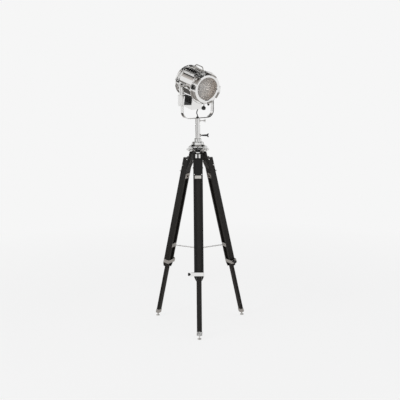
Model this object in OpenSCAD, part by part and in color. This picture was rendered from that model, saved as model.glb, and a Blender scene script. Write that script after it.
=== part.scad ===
// Studio spotlight floor lamp: a drum lamp head with a stepped lens, in a
// fork on a sliding post, on a black wooden tripod with sliding legs.
// Millimetres, +Z up. The origin is on the floor, at the centre of the
// box round the whole lamp. Front of the stand is towards -Y.

/* [Stand] */
// Height of the leg hinges above the floor
hinge_h = 1126; // [1000:1:1200]
// Distance of each leg hinge from the stand's axis
hinge_r = 37; // [34:1:42]
// Lean of each leg from the vertical, in degrees
leg_lean = 13.2; // [11:0.1:15]
// Number of legs that the hub carries
leg_count = 3; // [3:1:3]

/* [Wooden legs] */
// Width of the outer leg section, along the hinge
outer_w = 58; // [56:1:66]
// Depth of the outer leg section
outer_d = 36; // [32:1:42]
// Width of the slot between the two rails
slot_w = 32; // [30:1:34]
// How far the section's centre line stands outside the hinge
leg_offset = 20.3; // [19:0.1:24]
// Distance down the leg from the hinge to the top of the rails
rail_top = 62; // [56:1:80]
// Distance down the leg to the lower end of the rails
rail_end = 804; // [790:1:820]
// Distance down the leg to the foot of the head block
block_end = 159; // [140:1:160]
// Thickness of the hinge arm at the top of the block
arm_t = 20; // [18:1:22]
// Radius of the rounded top of the hinge arm
arm_r = 12; // [10:0.5:13]
// Width of the sliding lower leg
lower_w = 31; // [26:0.5:31.4]
// Depth of the sliding lower leg
lower_d = 18; // [14:1:24]
// Distance down the leg to the top of the sliding lower leg, as set
lower_top = 177; // [176:1:230]
// Length of the chrome ferrule at the foot
ferrule_l = 24; // [16:1:40]
// Diameter of the round foot pad
pad_d = 24; // [18:1:40]
// Thickness of the foot pad
pad_t = 7; // [5:1:12]

/* [Leg fittings] */
// Distance down the leg to the centre of the clamp band
band_at = 764; // [700:1:780]
// Height of the clamp band
band_h = 22; // [14:1:26]
// Thickness of the clamp band's metal
band_t = 2; // [1.5:0.5:3]
// Length of the band's ear that carries the clamping screw
ear_l = 20; // [12:1:24]
// Diameter of the clamp knob
clamp_knob_d = 20; // [14:1:26]
// Distance down the leg to the chain's eye plate
eye_at = 647; // [600:1:700]
// Thickness of the straps, the guide plates and the eye plates
plate_t = 2.5; // [1.5:0.5:4]
// Diameter of the hinge bolts
bolt_d = 8; // [6:0.5:10]

/* [Spreader chain] */
// Wire diameter of the chain links
link_wire = 2.4; // [1.6:0.2:3]
// Length of chain that each link adds, as nearly as it fits
link_goal = 11; // [8:0.5:15]
// Width of one link, outside
link_w = 8.4; // [7:0.2:10]
// Outer diameter of the ring that joins the three chains
ring_d = 34; // [26:1:44]

/* [Hub and post] */
// Diameter of the hub plate over the hinges
hub_d = 108; // [106:1:120]
// Height of the hub plate's underside above the hinges
hub_drop = 16; // [14:1:20]
// Height of the hub casting, without its collar
hub_h = 33; // [26:1:44]
// Diameter of the collar on top of the hub
collar_d = 44; // [38:1:52]
// Height of the collar
collar_h = 20; // [12:1:30]
// Outer diameter of the receiver tube
tube_d = 29.6; // [26:0.2:33]
// Outer diameter of the sliding post
post_d = 23; // [18:0.5:25]
// Bore of the hollow post, for the lead
post_bore = 9; // [8:0.5:11]
// Diameter of the spigot on top of the post
spigot_d = 16; // [14:0.5:18]
// Length of the receiver tube above the hub's collar
tube_rise = 82; // [60:1:140]
// Length of the post that stands out of the receiver tube
post_show = 26; // [20:1:80]
// Height of the receiver's thumbscrew above the hub's collar
knob_rise = 18; // [10:1:30]
// Length of the receiver's thumbscrew grip
grip_l = 38; // [24:1:50]

/* [Fork] */
// Room between the drum and each arm of the fork
fork_gap = 19.5; // [19.5:0.5:33]
// Thickness of the fork's flat bar
fork_t = 5; // [4:0.5:8]
// Width of the fork's flat bar
bar_w = 28; // [20:1:36]
// Height of the tilt axis above the underside of the fork
tilt_h = 207; // [196:1:230]
// Outer radius of the fork's lower corners
fork_corner = 46; // [30:1:60]
// Turn of the lamp head to the right, in degrees
pan_rest = 32.7; // [-60:0.1:60]
// Downward tilt of the lamp head, in degrees
tilt_rest = 11.3; // [-20:0.1:30]
// Diameter of the tilt studs
stud_d = 10; // [8:0.5:12]
// Length of the tilt lever below the tilt axis
lever_l = 126; // [100:1:150]
// Width of the tilt lever's paddle
lever_w = 44; // [30:1:48]

/* [Lamp drum] */
// Outer diameter of the drum
drum_d = 174; // [168:1:180]
// Thickness of the drum's sheet metal
drum_t = 2; // [1.5:0.5:3]
// Distance from the tilt axis to the back of the drum
drum_back = 88; // [80:1:96]
// Distance from the tilt axis to the front of the drum
drum_front = 79; // [76:1:90]
// How far the rear ring and the front flange stand out from the drum
rim_out = 14; // [8:1:15]
// Thickness of the front flange
flange_t = 7; // [4:1:10]
// Thickness of the rear ring
rear_ring_t = 10; // [8:1:14]
// Number of webs that carry the rear ring
web_count = 12; // [8:1:16]
// Bulge of the rear cap
cap_bulge = 18; // [10:1:30]
// Length of the ventilator on top of the drum
vent_l = 136; // [120:1:140]
// Height of the ventilator's bars above the drum
vent_rise = 9; // [6:1:12]
// Length of the carrying handle
handle_l = 90; // [70:1:110]
// Height of the carrying handle above the ventilator
handle_rise = 25; // [20:1:32]
// Wire diameter of the carrying handle
handle_wire = 6; // [4:0.5:8]

/* [Lens door] */
// How far the lens door stands out from the drum
door_out = 2; // [0:0.5:4]
// Depth of the lens door
door_t = 30; // [24:1:36]
// Diameter of the glass that shows
glass_d = 136; // [120:1:144]
// Number of steps in the lens
lens_rings = 11; // [6:1:14]
// Focal length of the lens
lens_focus = 110; // [90:1:160]
// Opening travel of the door's catch
catch_pull = 7; // [5:1:8]

/* [Terminal box] */
// Length of the louvred box under the drum
box_l = 88; // [70:1:96]
// Width of the louvred box
box_w = 72; // [60:1:80]
// Depth of the louvred box below the drum, at its back
box_deep = 60; // [51:1:63]
// How much shallower the louvred box is at its front
box_rise = 23; // [10:1:30]
// Height of the chrome tray under the back of the box
tray_h = 6; // [5:1:14]
// Distance from the tilt axis to the front of the box
box_front = 15; // [4:1:24]
// Number of louvres in each side of the box
louvre_count = 7; // [4:1:9]

/* [Lamp inside] */
// Diameter of the bulb
bulb_d = 60; // [45:1:66]
// Height of the lampholder
holder_h = 42; // [34:1:46]
// Diameter of the lampholder
holder_d = 38; // [32:1:42]
// Diameter of the mirror behind the bulb
mirror_d = 112; // [90:1:120]
// Focusing travel either way
focus_travel = 14; // [8:1:16]
// Focusing rod's turn towards the lamp's left, from straight down
focus_turn = 29; // [0:1:32]
// Focusing rod's length to the middle of its ball
focus_rod = 46; // [30:1:50]

/* [Hidden] */
$fn = 64;

black_wood = "#1c1c1c";
chrome = "#d4d6d8";
black_paint = "#161616";

// Running clearance of pieces that slide or turn on each other
fit = 0.05;
slack = 0.4;

// Stand geometry. The leg's centre line meets the floor at foot_r
foot_lift = pad_t + 1;
line_r = hinge_r + leg_offset / cos(leg_lean);
foot_r = line_r + (hinge_h - foot_lift) * tan(leg_lean);
axis_y = foot_r * (1 - sin(30)) / 2;
ball_s = (hinge_h - foot_lift) / cos(leg_lean) + leg_offset * tan(leg_lean);
azimuths = [-90, 150, 30];
// Which end of each hinge bolt carries the wing nut
nut_side = [1, 1, -1];
// How far each wing nut is turned
nut_turn = [80, -25, -25];
nut_l = [14, 32, 32];
rail_w = (outer_w - slot_w) / 2;
inner_x = leg_offset - outer_d / 2;
outer_x = leg_offset + outer_d / 2;
stem_s = ball_s - 10;
ferrule_s = stem_s - 6 - ferrule_l;
lower_end = ferrule_s + ferrule_l - 4;

// Hub and post heights
hub_z = hinge_h + hub_drop;
hub_top = hub_z + hub_h;
collar_top = hub_top + collar_h;
tube_top = collar_top + tube_rise;
cheek_t = 7;
cheek_in = slot_w / 2 + slack;
bolt_half = cheek_in + cheek_t;
fork_z = tube_top + post_show + 16;
tilt_z = fork_z + tilt_h;
knob_z = collar_top + knob_rise;
socket_l = 34;
socket_d = 28;
post_top = fork_z - 3.5;
post_len = 196;
spigot_l = socket_l - 3.2;
screw_z = fork_z - 15;

// Lamp head, in its own frame: x forward, y to the lamp's left, z up
drum_r = drum_d / 2;
fork_w = drum_d + 2 * fork_gap;
box_drop = drum_r + box_deep;
drum_l = drum_back + drum_front;
stud_cap = 1.4 * stud_d;
rim_r = drum_r + rim_out;
door_r = drum_r + door_out;
door_x = drum_front + flange_t + 1.5;
door_front = door_x + door_t;
glass_r = glass_d / 2;
lens_r = glass_r + 7;
lip_t = 3;
lens_t = 9;
lens_face = door_front - lip_t - 1.05;
lens_seat = lens_face - lens_t;
vent_back = -84;
vent_r = drum_r + vent_rise;
box_back = box_front - box_l;
hinge_pin_x = door_x + 4;
hinge_pin_y = rim_r + 5;
pin_d = 4;
catch_x = door_x + 9;
focus_x = 48;
strap_r = drum_r - drum_t - 0.3;
tray_bottom = box_drop + tray_h;

// The lead leaves the tray here, in the head's frame
lead_d = 6;
lead_out = [4, 20];

// ---------- frames ----------

module at_axis() {
    translate([0, axis_y, 0]) children();
}

// Frame of a leg: x outwards, y along its hinge, -z down the leg
module leg_frame(i) {
    at_axis()
        rotate([0, 0, azimuths[i]])
            translate([hinge_r, 0, hinge_h])
                rotate([0, -leg_lean, 0])
                    children();
}

module fork_frame() {
    at_axis()
        translate([0, 0, tilt_z])
            rotate([0, 0, pan_rest - 90])
                children();
}

module head_frame() {
    fork_frame() rotate([0, tilt_rest, 0]) children();
}

// Turns a shape made along z so that it lies along x
module along_x() {
    rotate([0, 90, 0]) children();
}

// Turns a shape made along z so that it lies along y
module along_y() {
    rotate([-90, 0, 0]) children();
}

// Turns a profile drawn as [distance along x, radius] about the x axis
module turned(profile, turn = 360) {
    rotate([0, 90, 0])
        rotate_extrude(angle = turn, $fn = 96)
            polygon([for (p = profile) [p[1], p[0]]]);
}

// Flat ring
module washer(outer, inner, t) {
    difference() {
        cylinder(d = outer, h = t);
        translate([0, 0, -1]) cylinder(d = inner, h = t + 2);
    }
}

// Round bar bent to an arc in the xz plane, round the origin
module bent_bar(bend_r, wire, from, to) {
    rotate([90, 0, 0])
        rotate([0, 0, from])
            rotate_extrude(angle = to - from)
                translate([bend_r, 0]) circle(d = wire, $fn = 24);
}

// ---------- hub ----------

module hub_body() {
    rotate_extrude($fn = 96)
        difference() {
            union() {
                polygon([
                    [0, hub_z], [hub_d / 2 - 2, hub_z], [hub_d / 2, hub_z + 2],
                    [hub_d / 2, hub_z + 6], [hub_d / 2 - 6, hub_z + 10],
                    [collar_d / 2 + 16, hub_z + hub_h * 0.5],
                    [collar_d / 2 + 13, hub_top - 3], [collar_d / 2 + 10, hub_top],
                    [collar_d / 2, hub_top], [collar_d / 2, collar_top - 3],
                    [collar_d / 2 - 3, collar_top], [0, collar_top]
                ]);
            }
            square([tube_d / 2, collar_top + 1]);
        }
}

// One cheek that carries a hinge bolt, drawn in the xz plane
module cheek_plate() {
    difference() {
        union() {
            along_y() cylinder(r = 13, h = cheek_t);
            translate([-13, 0, 0]) cube([30, cheek_t, hub_drop + 1]);
        }
        translate([0, -1, 0]) along_y() cylinder(d = bolt_d, h = cheek_t + 2);
    }
}

module hub_casting() {
    wall_y = cheek_in + 1;
    color(chrome)
        at_axis() {
            difference() {
                union() {
                    hub_body();
                    for (a = azimuths)
                        rotate([0, 0, a])
                            translate([hinge_r, 0, hinge_h]) {
                                for (side = [0, 1])
                                    mirror([0, side, 0])
                                        translate([0, cheek_in, 0]) cheek_plate();
                                // skirt over the top of the hinge arm
                                translate([13, -wall_y, 5])
                                    cube([4, 2 * wall_y, hub_drop - 4]);
                            }
                }
                translate([0, 0, -1]) cylinder(d = tube_d, h = collar_top + 2, $fn = 96);
            }
        }
}

module receiver_tube() {
    bottom = hinge_h - 8;
    color(chrome)
        at_axis()
            difference() {
                union() {
                    translate([0, 0, bottom])
                        cylinder(d = tube_d, h = tube_top - bottom, $fn = 96);
                    translate([0, 0, tube_top - 6])
                        cylinder(d = tube_d + 3, h = 6, $fn = 96);
                    translate([0, 0, knob_z]) along_x()
                        cylinder(d = 18, h = tube_d / 2 + 6);
                }
                translate([0, 0, bottom - 1])
                    cylinder(d = post_d + 2 * fit, h = tube_top - bottom + 2, $fn = 96);
                translate([0, 0, knob_z]) along_x()
                    cylinder(d = 6 + 2 * fit, h = tube_d);
            }
}

module hinge_bolts() {
    head_t = 5;
    color(chrome)
        at_axis()
            for (i = [0 : leg_count - 1])
                rotate([0, 0, azimuths[i]])
                    translate([hinge_r, 0, hinge_h])
                        mirror([0, nut_side[i] < 0 ? 1 : 0, 0]) {
                            translate([0, -bolt_half - head_t, 0]) along_y()
                                cylinder(d = 14, h = head_t, $fn = 6);
                            translate([0, -bolt_half, 0]) along_y()
                                cylinder(d = bolt_d, h = 2 * bolt_half + nut_l[i] + 1);
                        }
}

// Wing nut on its bolt's axis: z runs outwards along the thread, and the
// two ring-shaped wings lie across the thread, to either side along x
module wing_nut_shape(bore, nut_d, sleeve, ring_r, ring_x, t) {
    difference() {
        union() {
            cylinder(d = nut_d, h = sleeve);
            translate([0, 0, sleeve - 2]) cylinder(d = nut_d + 2, h = t + 4);
            for (side = [0, 1])
                mirror([side, 0, 0])
                    translate([ring_x, 0, sleeve]) cylinder(r = ring_r, h = t);
        }
        if (bore > 0)
            translate([0, 0, -1]) cylinder(d = bore, h = sleeve + t + 6);
        for (side = [0, 1])
            mirror([side, 0, 0])
                translate([ring_x, 0, sleeve - 3]) cylinder(r = ring_r * 0.45, h = t + 8);
    }
}

module wing_nut(i) {
    color(chrome)
        at_axis()
            rotate([0, 0, azimuths[i]])
                translate([hinge_r, 0, hinge_h])
                    mirror([0, nut_side[i] < 0 ? 1 : 0, 0])
                        translate([0, bolt_half + 0.3, 0]) along_y()
                            rotate([0, 0, nut_turn[i]])
                                wing_nut_shape(bolt_d + 2 * fit, 11.4, nut_l[i] - 8, 7.1, 8.5, 4);
}

// ---------- post ----------

module post() {
    color(chrome)
        at_axis()
            difference() {
                union() {
                    translate([0, 0, post_top - post_len])
                        cylinder(d = post_d, h = post_len - spigot_l, $fn = 96);
                    translate([0, 0, post_top - spigot_l - 1])
                        cylinder(d = spigot_d, h = spigot_l + 1, $fn = 96);
                }
                translate([0, 0, post_top - post_len - 1])
                    cylinder(d = post_bore, h = post_len + 2);
            }
}

// Thumbscrew with a tapered grip that opens into two wings
module receiver_knob() {
    start = post_d / 2 + 0.5;
    grip_at = tube_d / 2 + 9;
    color(black_paint)
        at_axis()
            translate([0, 0, knob_z]) {
                translate([start, 0, 0]) along_x()
                    cylinder(d = 6, h = grip_at - start + 1);
                translate([grip_at, 0, 0]) along_x()
                    cylinder(d1 = 8, d2 = 13, h = grip_l);
                translate([grip_at + grip_l, 0, 0]) along_x()
                    cylinder(d1 = 13, d2 = 10, h = 3);
                for (side = [0, 1])
                    mirror([0, 0, side])
                        translate([grip_at + grip_l + 2, 2, 7.5])
                            rotate([90, 0, 0]) cylinder(r = 4.5, h = 4);
            }
}

// ---------- fork ----------

// Outline of the fork in the plane of its two arms, open at the top
module fork_outline() {
    half = fork_w / 2 + fork_t;
    inner_corner = fork_corner - fork_t;
    for (side = [0, 1])
        mirror([side, 0]) {
            translate([fork_w / 2, fork_corner]) square([fork_t, tilt_h - fork_corner]);
            translate([half - fork_corner, fork_corner])
                intersection() {
                    difference() {
                        circle(r = fork_corner, $fn = 96);
                        circle(r = inner_corner, $fn = 96);
                    }
                    translate([0, -fork_corner]) square(fork_corner);
                }
            square([half - fork_corner, fork_t]);
        }
}

module fork() {
    color(chrome)
        fork_frame()
            difference() {
                union() {
                    translate([0, 0, -tilt_h])
                        rotate([90, 0, 90])
                            translate([0, 0, -bar_w / 2])
                                linear_extrude(bar_w) fork_outline();
                    for (side = [0, 1])
                        mirror([0, side, 0])
                            translate([0, fork_w / 2, 0]) along_y()
                                cylinder(d = bar_w, h = fork_t);
                }
                translate([0, -fork_w, 0]) along_y()
                    cylinder(d = stud_d + 2 * fit, h = 2 * fork_w);
                translate([0, 0, -tilt_h - 1])
                    cylinder(d = 14, h = fork_t + 2);
            }
}

// Socket under the fork that turns on the post's spigot
module fork_socket() {
    color(chrome)
        at_axis()
            difference() {
                union() {
                    translate([0, 0, fork_z - socket_l]) cylinder(d = socket_d, h = socket_l);
                    translate([0, 0, screw_z]) along_x() cylinder(d = 11, h = socket_d / 2 + 5);
                }
                translate([0, 0, fork_z - socket_l - 1])
                    cylinder(d = spigot_d + 2 * fit, h = socket_l - 2);
                translate([0, 0, fork_z - 4]) cylinder(d = 11, h = 5);
                translate([0, 0, screw_z]) along_x() cylinder(d = 5 + 2 * fit, h = 40);
            }
}

module lead_grommet() {
    color(black_paint)
        at_axis()
            translate([0, 0, fork_z])
                difference() {
                    union() {
                        cylinder(d = 14, h = fork_t + 1);
                        translate([0, 0, fork_t]) cylinder(d = 18, h = 2);
                        translate([0, 0, fork_t + 2]) cylinder(d1 = 16, d2 = 10, h = 4.6);
                    }
                    translate([0, 0, -4]) cylinder(d = lead_d, h = 30);
                }
}

module pan_screw() {
    start = spigot_d / 2 + 0.4;
    color(chrome)
        at_axis()
            translate([0, 0, screw_z]) {
                translate([start, 0, 0]) along_x() cylinder(d = 5, h = 30);
                translate([start + 26, 0, 0]) along_x() cylinder(d = 8, h = 4);
                translate([start + 28, 0, 0]) along_x()
                    rotate([0, 0, 35]) wing_nut_shape(0, 9, 8, 5, 8.5, 3);
            }
}

// ---------- lamp head ----------

module drum() {
    color(chrome)
        head_frame()
            difference() {
                union() {
                    turned([
                        [-drum_back, drum_r], [-drum_back, drum_r - drum_t],
                        [drum_front, drum_r - drum_t], [drum_front, drum_r]
                    ]);
                    // beads rolled in the sheet
                    for (x = [-drum_back + 8, drum_front - 12])
                        translate([x, 0, 0]) along_x()
                            difference() {
                                cylinder(r = drum_r + 1.5, h = 4, $fn = 96);
                                translate([0, 0, -1]) cylinder(r = drum_r - 1, h = 6, $fn = 96);
                            }
                }
                // slots under the ventilator
                for (a = [-1, 1])
                    for (step = [0, 1])
                        rotate([a * (12 + 22 * step), 0, 0])
                            translate([vent_back + 12, -5, drum_r - 6])
                                cube([vent_l - 24, 10, 12]);
                // slot for the focusing rod
                rotate([focus_turn, 0, 0])
                    translate([focus_x - focus_travel - 4.3, -4.3, -drum_r - 5])
                        cube([2 * focus_travel + 8.6, 8.6, 12]);
                // wiring hole into the louvred box
                translate([box_front - box_l / 2, 0, -drum_r - 3]) cylinder(d = 24, h = 12);
                // holes for the tilt studs
                translate([0, -drum_r - 5, 0]) along_y()
                    cylinder(d = stud_d + 0.04, h = 2 * drum_r + 10);
            }
}

module rear_cap() {
    ring_x = -drum_back - rear_ring_t;
    color(chrome)
        head_frame() {
            difference() {
                union() {
                    // rolled ring
                    turned([
                        [ring_x, rim_r - 9], [ring_x, rim_r - 2], [ring_x + 2, rim_r],
                        [ring_x + rear_ring_t - 2, rim_r],
                        [ring_x + rear_ring_t, rim_r - 2], [ring_x + rear_ring_t, rim_r - 9]
                    ]);
                    // webs from the ring to the cap
                    for (i = [0 : web_count - 1])
                        rotate([i * 360 / web_count, 0, 0])
                            translate([ring_x + 1, -4, drum_r - 12])
                                cube([rear_ring_t - 2, 8, rim_r - drum_r + 6]);
                    // spigot inside the drum and the domed back
                    turned([
                        [-drum_back + 6, drum_r - drum_t - fit],
                        [-drum_back + 6, drum_r - drum_t - 3],
                        [ring_x + 2, drum_r - drum_t - 3],
                        [ring_x - cap_bulge * 0.7, drum_r * 0.6],
                        [ring_x - cap_bulge, 0],
                        [ring_x - cap_bulge - 2, 0],
                        [ring_x - cap_bulge * 0.7 - 2, drum_r * 0.6 + 1],
                        [ring_x, drum_r - 1], [ring_x, drum_r - drum_t - fit]
                    ]);
                }
                // ring of round vents in the domed back
                for (i = [0 : 7])
                    rotate([i * 45 + 22.5, 0, 0])
                        translate([ring_x - cap_bulge - 8, 0, drum_r * 0.42])
                            along_x() cylinder(d = 14, h = 30);
            }
        }
}

module front_flange() {
    end_x = drum_front + flange_t;
    lug_r = 5;
    color(chrome)
        head_frame()
            difference() {
                union() {
                    turned([
                        [drum_front - 6, drum_r + 3], [drum_front - 6, drum_r + 0.05],
                        [drum_front, drum_r + 0.05], [drum_front, drum_r - 8],
                        [end_x, drum_r - 8], [end_x, rim_r - 1.5],
                        [end_x - 1.5, rim_r], [drum_front + 1.5, rim_r],
                        [drum_front, rim_r - 1.5], [drum_front, drum_r + 3]
                    ]);
                    // blocks that centre the door
                    for (a = [60, 150, 240, 330])
                        rotate([a, 0, 0])
                            translate([end_x - 1, -8, door_r + 1])
                                cube([11, 16, 7]);
                    // hinge lugs
                    for (z = [-38, -2])
                        translate([0, 0, z]) hinge_lug(drum_front + 1, 8);
                    // bracket for the catch
                    translate([drum_front + 2, -9, -door_r - 7])
                        cube([catch_x - drum_front + 7, 18, 5]);
                }
                translate([catch_x, 0, -rim_r - 10]) cylinder(d = 5 + 2 * fit, h = 30);
                translate([hinge_pin_x, hinge_pin_y, -60]) cylinder(d = pin_d + 0.04, h = 90);
            }
}

// One knuckle on the hinge's axis with its arm back to x_from
module hinge_lug(x_from, h) {
    translate([hinge_pin_x, hinge_pin_y, 0]) cylinder(r = 5, h = h);
    translate([x_from, hinge_pin_y - 15, 0])
        cube([hinge_pin_x - x_from, 20, h]);
}

module top_vent() {
    bars = [-40, -26, 0, 26, 40];
    color(chrome)
        head_frame()
            difference() {
                union() {
                    for (a = bars)
                        rotate([a, 0, 0]) {
                            wide = a == 0 ? 26 : abs(a) < 30 ? 12 : 9;
                            translate([vent_back, -wide / 2, drum_r - 2])
                                cube([vent_l, wide, vent_rise + 2]);
                        }
                    // end bows that join the bars
                    for (x = [vent_back, vent_back + vent_l - 8])
                        translate([x, 0, 0])
                            rotate([0, 90, 0])
                                rotate([0, 0, 180 - 43])
                                    rotate_extrude(angle = 86, $fn = 96)
                                        translate([drum_r - 1, 0]) square([vent_rise - 1, 8]);
                }
                translate([vent_back - 1, 0, 0]) along_x()
                    cylinder(r = drum_r + 0.1, h = vent_l + 2, $fn = 96);
                // room for the drum's rear bead
                translate([-drum_back + 7.7, 0, 0]) along_x()
                    cylinder(r = drum_r + 1.7, h = 4.6, $fn = 96);
            }
}

module handle() {
    half = handle_l / 2;
    mid = 4;
    top = vent_r + handle_rise - handle_wire / 2;
    foot = vent_r + 4;
    bend = top - foot - 1;
    color(chrome)
        head_frame()
            translate([mid, 0, 0]) {
                for (side = [0, 1])
                    mirror([side, 0, 0]) {
                        translate([half, 0, foot])
                            cylinder(d = handle_wire, h = top - bend - foot, $fn = 24);
                        translate([half - bend, 0, top - bend])
                            bent_bar(bend, handle_wire, 0, 90);
                        translate([half, 0, vent_r])
                            cylinder(d = 14, h = 4);
                    }
                translate([-half + bend, 0, top]) along_x()
                    cylinder(d = handle_wire, h = handle_l - 2 * bend, $fn = 24);
            }
}

// Solid under the drum, its bottom sloping up towards the front
module box_solid(back, front, half_w, top) {
    translate([0, half_w, 0])
        rotate([90, 0, 0])
            linear_extrude(2 * half_w)
                polygon([
                    [back, top], [front, top],
                    [front, -box_drop + box_rise], [back, -box_drop]
                ]);
}

module louvre_box() {
    wall = 2;
    pitch = (box_l - 16) / louvre_count;
    color(black_paint)
        head_frame()
            difference() {
                box_solid(box_back, box_front, box_w / 2, -drum_r * 0.7);
                translate([0, 0, -3])
                    box_solid(box_back + wall, box_front - wall, box_w / 2 - wall, 0);
                translate([0, 0, 3])
                    box_solid(box_back + wall, box_front - wall, box_w / 2 - wall, 0);
                translate([-drum_l, 0, 0]) along_x()
                    cylinder(r = drum_r + 0.05, h = 2 * drum_l, $fn = 96);
                for (i = [0 : louvre_count - 1])
                    translate([box_back + 8 + (i + 0.2) * pitch, -box_w, -box_drop + box_rise + 4])
                        cube([pitch * 0.6, 2 * box_w, box_drop - box_rise - drum_r]);
            }
}

// Wedge-shaped tray that closes the box, with a plate up its front
module tray() {
    side = 1.5;
    function line_z(x) = -box_drop + (x - box_back) * box_rise / box_l;
    color(chrome)
        head_frame()
            difference() {
                union() {
                    translate([0, box_w / 2 + side, 0])
                        rotate([90, 0, 0])
                            linear_extrude(box_w + 2 * side)
                                polygon([
                                    [box_back - side, line_z(box_back - side) - 0.1],
                                    [box_front + side, line_z(box_front + side) - 0.1],
                                    [box_front + side, -tray_bottom],
                                    [box_back - side, -tray_bottom]
                                ]);
                    translate([box_front + 0.1, -box_w / 2 - side, -tray_bottom])
                        cube([2.9, box_w + 2 * side, tray_bottom - drum_r + 3]);
                }
                translate([0, box_w / 2 - 1, 0])
                    rotate([90, 0, 0])
                        linear_extrude(box_w - 2)
                            polygon([
                                [box_back + 6, -box_drop + 4], [box_front - 2, -box_drop + box_rise + 2],
                                [box_front - 2, -tray_bottom + 2.5], [box_back + 6, -tray_bottom + 2.5]
                            ]);
                translate([-drum_l, 0, 0]) along_x()
                    cylinder(r = drum_r + 0.1, h = 2 * drum_l, $fn = 96);
                translate([lead_out[0], lead_out[1], -tray_bottom - 1])
                    cylinder(d = lead_d + 2, h = 8);
            }
}

module tilt_studs() {
    shoulder = fork_w / 2 - 0.3;
    color(chrome)
        head_frame()
            for (side = [0, 1])
                mirror([0, side, 0]) {
                    translate([0, drum_r - 6, 0]) along_y()
                        cylinder(d = stud_d, h = fork_w / 2 + fork_t + stud_cap + 10 - drum_r);
                    difference() {
                        translate([0, drum_r - 3, 0]) along_y()
                            cylinder(d = 2.6 * stud_d, h = shoulder - drum_r + 3);
                        translate([-2 * stud_d, 0, 0]) along_x()
                            cylinder(r = drum_r + 0.1, h = 4 * stud_d, $fn = 96);
                    }
                    if (side == 0)
                        translate([0, fork_w / 2 + fork_t + 0.4, 0]) along_y()
                            cylinder(d1 = 2.4 * stud_d, d2 = 1.6 * stud_d, h = stud_cap);
                }
}

// The short lead from the tray to the hollow fork, two even bends
module lamp_lead() {
    top = [lead_out[0], lead_out[1], -tray_bottom];
    // the outlet's place in the fork's frame
    out_x = top[0] * cos(tilt_rest) + top[2] * sin(tilt_rest);
    out_y = top[1];
    out_z = tilt_z - top[0] * sin(tilt_rest) + top[2] * cos(tilt_rest);
    low_z = fork_z + fork_t + 9;
    reach = norm([out_x, out_y]);
    rise = out_z + 2 - low_z;
    turn = 2 * atan(reach / rise);
    bend = rise / 2 / sin(turn);
    color(black_paint)
        at_axis()
            rotate([0, 0, pan_rest - 90])
                rotate([0, 0, atan2(out_y, out_x)]) {
                    wire = lead_d - 2 * fit;
                    translate([0, 0, fork_z - 40])
                        cylinder(d = wire, h = low_z - fork_z + 40, $fn = 24);
                    translate([bend, 0, low_z]) bent_bar(bend, wire, 180 - turn, 180);
                    translate([reach - bend, 0, out_z + 2]) bent_bar(bend, wire, -turn, 0);
                    // sleeves over the joints
                    translate([0, 0, low_z - 2]) cylinder(d = lead_d + 1.4, h = 4, $fn = 48);
                    translate([reach / 2, 0, (low_z + out_z + 2) / 2])
                        rotate([0, 90 - (90 - turn), 0])
                            translate([0, 0, -2.5]) cylinder(d = lead_d + 1.4, h = 5, $fn = 48);
                }
}

// ---------- inside the drum ----------

module lamp_carriage() {
    back = -44;
    front = focus_x + 14;
    color(chrome)
        head_frame()
            difference() {
                union() {
                    // runner that slides on the floor of the drum
                    translate([back, 0, 0])
                        rotate([0, 90, 0])
                            rotate([0, 0, -28])
                                rotate_extrude(angle = focus_turn + 40, $fn = 96)
                                    translate([strap_r - 3, 0]) square([3, front - back]);
                    // seat for the lampholder
                    translate([-22, -21, -strap_r + 2]) cube([44, 42, 4]);
                    // stalk for the mirror
                    translate([back, -8, -strap_r + 1])
                        cube([6, 16, strap_r - 1 - mirror_d / 2 - fit]);
                    // boss of the focusing rod, in the drum's slot
                    rotate([focus_turn, 0, 0])
                        translate([focus_x, 0, -drum_r - 0.5])
                            cylinder(d = 8, h = drum_r - strap_r + 3);
                }
                rotate([focus_turn, 0, 0])
                    translate([focus_x, 0, -drum_r - 1]) cylinder(d = 4 + 2 * fit, h = 12);
                // keeps the seat inside the drum
                translate([-30, 0, 0]) along_x()
                    difference() {
                        cylinder(r = drum_r + 4, h = 60, $fn = 96);
                        translate([0, 0, -1]) cylinder(r = strap_r, h = 62, $fn = 96);
                    }
            }
}

module lampholder() {
    base = -strap_r + 6;
    color("#e8e2d4")
        head_frame()
            translate([0, 0, base])
                difference() {
                    union() {
                        cylinder(d = holder_d, h = holder_h * 0.4);
                        translate([0, 0, holder_h * 0.4])
                            cylinder(d1 = holder_d, d2 = holder_d - 4, h = holder_h * 0.6);
                    }
                    translate([0, 0, 12]) cylinder(d = 27, h = holder_h);
                }
}

module bulb() {
    base = -strap_r + 6 + 13;
    neck = holder_h - 12;
    color("#f4efe2")
        head_frame()
            translate([0, 0, base])
                rotate_extrude($fn = 64)
                    polygon(concat(
                        [[0, 0], [5, 0], [13, 4], [13, neck]],
                        [for (a = [-64 : 8 : 90])
                            [bulb_d / 2 * cos(a), neck + bulb_d / 2 * (0.9 + sin(a))]]
                    ));
}

module reflector() {
    reach = mirror_d / 2;
    sphere_r = mirror_d * 0.62;
    rim = asin(reach / sphere_r);
    steps = 8;
    back = -40;
    inner = [for (k = [0 : steps]) let (a = rim * k / steps)
        [back - sphere_r * cos(a) + sphere_r * cos(rim), sphere_r * sin(a)]];
    outer = [for (k = [steps : -1 : 0]) let (a = rim * k / steps)
        [inner[k][0] - 1.5, inner[k][1]]];
    color(chrome)
        head_frame() turned(concat(inner, outer));
}

module focus_knob() {
    ball_r = 7;
    color(black_paint)
        head_frame()
            rotate([focus_turn, 0, 0])
                translate([focus_x, 0, -drum_r - 0.9])
                    rotate([180, 0, 0]) {
                        translate([0, 0, -7]) cylinder(d = 4, h = 8);
                        cylinder(d = 9, h = 2.5);
                        cylinder(d = 4.6, h = focus_rod - 3);
                        translate([0, 0, focus_rod - 12]) cylinder(d1 = 7, d2 = 9, h = 7);
                        translate([0, 0, focus_rod]) sphere(r = ball_r, $fn = 48);
                    }
}

// ---------- lens door ----------

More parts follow.
